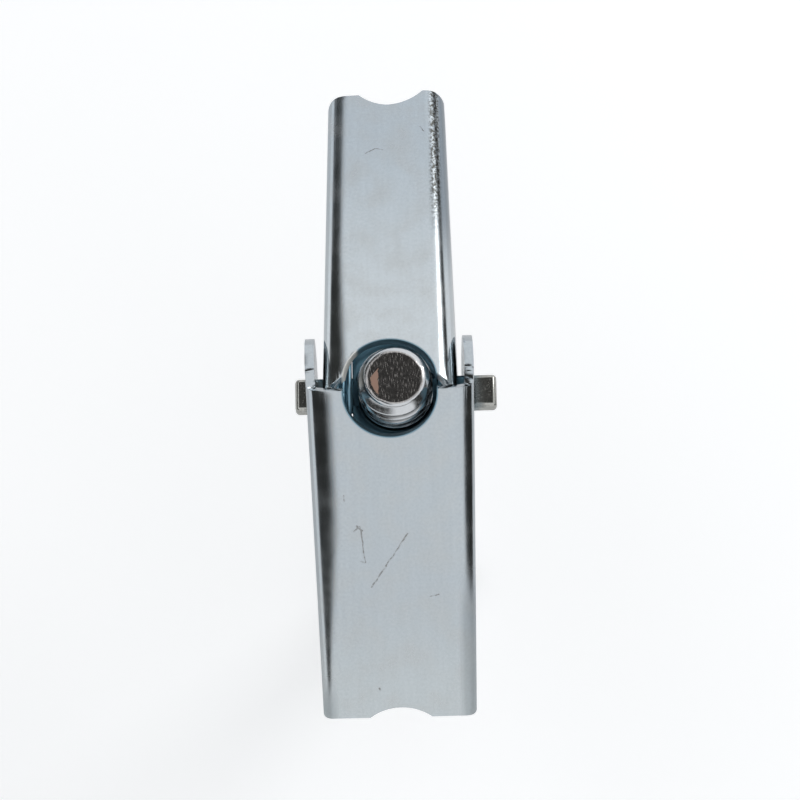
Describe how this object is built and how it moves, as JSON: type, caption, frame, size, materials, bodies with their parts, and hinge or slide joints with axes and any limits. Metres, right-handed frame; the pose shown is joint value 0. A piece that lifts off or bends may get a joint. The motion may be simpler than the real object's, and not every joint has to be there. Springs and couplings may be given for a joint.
{
  "type": "spring toggle bolt",
  "caption": "Zinc-plated spring toggle bolt: two folded-sheet wings hinge on the flattened arms of a nut and are pressed open by a torsion spring over a slotted cheese-head screw",
  "frame": {"origin": "centre of the bearing face under the screw's head", "axes": "+Z along the screw from the head to the tip, X along the hinge line of the wings, +Y towards the inner wing"},
  "size_m": [0.0162, 0.0495, 0.0544],
  "materials": {
    "bright_zinc": "bright zinc plating over steel",
    "blue_zinc": "blue passivated zinc plating",
    "wing_zinc": "semi-gloss zinc plated sheet, lightly scratched",
    "spring_wire": "zinc plated spring wire"
  },
  "bodies": {
    "screw": {"screw": "bright_zinc"},
    "nut": {"trunnion_nut": "blue_zinc", "wing_spring": "spring_wire"},
    "outer_wing": {"outer_wing": "wing_zinc"},
    "inner_wing": {"inner_wing": "wing_zinc"}
  },
  "joints": [
    {"name": "nut_travel", "type": "slide", "parent": "screw", "child": "nut", "axis": [0, 0, 1], "range_m": [-0.019, 0.003]},
    {"name": "outer_wing_fold", "type": "hinge", "parent": "nut", "child": "outer_wing", "pos_m": [0, 0, 0.0458], "axis": [1, 0, 0], "range_deg": [0, 52], "stiffness_Nm_per_rad": 0.01, "springref_deg": -22.92, "deforming": ["wing_spring"]},
    {"name": "inner_wing_fold", "type": "hinge", "parent": "nut", "child": "inner_wing", "pos_m": [0, 0, 0.0458], "axis": [-1, 0, 0], "range_deg": [0, 78.8], "stiffness_Nm_per_rad": 0.01, "springref_deg": -22.92, "deforming": ["wing_spring"]}
  ]
}
